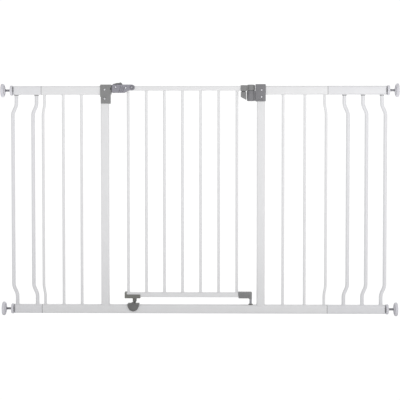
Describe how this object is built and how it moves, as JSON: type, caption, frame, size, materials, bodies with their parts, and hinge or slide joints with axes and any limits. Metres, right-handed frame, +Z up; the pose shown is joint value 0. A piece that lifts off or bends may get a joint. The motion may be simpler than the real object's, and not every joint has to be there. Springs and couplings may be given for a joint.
{
  "type": "safety baby gate",
  "caption": "Pressure-mounted barred gate for a wide doorway: a lift-and-swing door between two posts, side panels, push-in extensions and screw-out wall cups.",
  "frame": {"origin": "on the floor, midway between the two walls and midway through the gate's depth", "axes": "+X along the gate towards the hinge side, -Y towards the front, +Z up"},
  "size_m": [1.292, 0.045, 0.7619],
  "materials": {
    "white_powder_coat": "satin",
    "white_plastic": "satin",
    "lilac_plastic": "satin",
    "grey_plastic": "matte",
    "zinc_steel": "satin",
    "spring_steel": "satin"
  },
  "bodies": {
    "frame": {"bottom_rail": "white_powder_coat", "left_post": "white_powder_coat", "right_post": "white_powder_coat", "left_top_rail": "white_powder_coat", "right_top_rail": "white_powder_coat", "left_kinked_bar": "white_powder_coat", "left_bar_1": "white_powder_coat", "left_bar_2": "white_powder_coat", "right_bar_1": "white_powder_coat", "right_bar_2": "white_powder_coat", "right_kinked_bar": "white_powder_coat", "left_extension_top_rail": "white_powder_coat", "left_extension_bottom_rail": "white_powder_coat", "left_extension_bar_1": "white_powder_coat", "left_extension_bar_2": "white_powder_coat", "right_extension_top_rail": "white_powder_coat", "right_extension_bottom_rail": "white_powder_coat", "right_extension_bar_1": "white_powder_coat", "right_extension_bar_2": "white_powder_coat", "right_extension_bar_3": "white_powder_coat", "left_top_rail_end_cap": "white_plastic", "left_bottom_rail_end_cap": "white_plastic", "right_top_rail_end_cap": "white_plastic", "right_bottom_rail_end_cap": "white_plastic", "keeper_bracket": "grey_plastic", "hinge_bracket": "grey_plastic", "pivot_bushing": "grey_plastic", "bottom_catch": "grey_plastic", "closer_spring": "spring_steel"},
    "door_pivot": {"hinge_pin": "zinc_steel"},
    "door": {"door_top_rail": "white_powder_coat", "door_bottom_rail": "white_powder_coat", "door_bar_1": "white_powder_coat", "door_bar_2": "white_powder_coat", "door_bar_3": "white_powder_coat", "door_bar_4": "white_powder_coat", "door_bar_5": "white_powder_coat", "door_bar_6": "white_powder_coat", "door_bar_7": "white_powder_coat", "latch_housing": "grey_plastic", "latch_back_cover": "grey_plastic", "hinge_knuckle": "grey_plastic", "bottom_hinge_bracket": "grey_plastic", "bottom_lock_bracket": "grey_plastic", "pivot_pin": "zinc_steel"},
    "latch": {"latch_slider": "grey_plastic", "latch_bolt": "zinc_steel", "latch_spring": "spring_steel"},
    "left_top_nut": {"left_top_hand_nut": "lilac_plastic"},
    "left_top_wall_pad": {"left_top_spindle": "zinc_steel", "left_top_wall_cup": "lilac_plastic"},
    "left_bottom_nut": {"left_bottom_hand_nut": "lilac_plastic"},
    "left_bottom_wall_pad": {"left_bottom_spindle": "zinc_steel", "left_bottom_wall_cup": "lilac_plastic"},
    "right_top_nut": {"right_top_hand_nut": "lilac_plastic"},
    "right_top_wall_pad": {"right_top_spindle": "zinc_steel", "right_top_wall_cup": "lilac_plastic"},
    "right_bottom_nut": {"right_bottom_hand_nut": "lilac_plastic"},
    "right_bottom_wall_pad": {"right_bottom_spindle": "zinc_steel", "right_bottom_wall_cup": "lilac_plastic"}
  },
  "joints": [
    {"name": "door_swing", "type": "hinge", "parent": "frame", "child": "door_pivot", "pos_m": [0.1675, 0, 0.735], "axis": [0, 0, 1], "range_deg": [-90, 90], "stiffness_Nm_per_rad": 1.2},
    {"name": "door_lift", "type": "slide", "parent": "door_pivot", "child": "door", "axis": [0, 0, 1], "range_m": [0, 0.006]},
    {"name": "latch_slide", "type": "slide", "parent": "door", "child": "latch", "axis": [1, 0, 0], "range_m": [0, 0.006], "stiffness_N_per_m": 300, "springref_m": -0.003, "deforming": ["latch_spring"]},
    {"name": "left_top_nut_turn", "type": "hinge", "parent": "frame", "child": "left_top_nut", "pos_m": [-0.611, 0, 0.736], "axis": [-1, 0, 0], "range_deg": [-4476, 4908]},
    {"name": "left_top_spindle_slide", "type": "slide", "parent": "frame", "child": "left_top_wall_pad", "axis": [-1, 0, 0], "range_m": [-0.0155, 0.017]},
    {"name": "left_bottom_nut_turn", "type": "hinge", "parent": "frame", "child": "left_bottom_nut", "pos_m": [-0.611, 0, 0.0225], "axis": [-1, 0, 0], "range_deg": [-4476, 4908]},
    {"name": "left_bottom_spindle_slide", "type": "slide", "parent": "frame", "child": "left_bottom_wall_pad", "axis": [-1, 0, 0], "range_m": [-0.0155, 0.017]},
    {"name": "right_top_nut_turn", "type": "hinge", "parent": "frame", "child": "right_top_nut", "pos_m": [0.611, 0, 0.736], "axis": [1, 0, 0], "range_deg": [-4476, 4908]},
    {"name": "right_top_spindle_slide", "type": "slide", "parent": "frame", "child": "right_top_wall_pad", "axis": [1, 0, 0], "range_m": [-0.0155, 0.017]},
    {"name": "right_bottom_nut_turn", "type": "hinge", "parent": "frame", "child": "right_bottom_nut", "pos_m": [0.611, 0, 0.0225], "axis": [1, 0, 0], "range_deg": [-4476, 4908]},
    {"name": "right_bottom_spindle_slide", "type": "slide", "parent": "frame", "child": "right_bottom_wall_pad", "axis": [1, 0, 0], "range_m": [-0.0155, 0.017]}
  ],
  "couplings": [
    {"joint": "left_top_nut_turn", "follows": "left_top_spindle_slide", "rad_per_m": 5026.5},
    {"joint": "left_bottom_nut_turn", "follows": "left_bottom_spindle_slide", "rad_per_m": 5026.5},
    {"joint": "right_top_nut_turn", "follows": "right_top_spindle_slide", "rad_per_m": 5026.5},
    {"joint": "right_bottom_nut_turn", "follows": "right_bottom_spindle_slide", "rad_per_m": 5026.5}
  ]
}
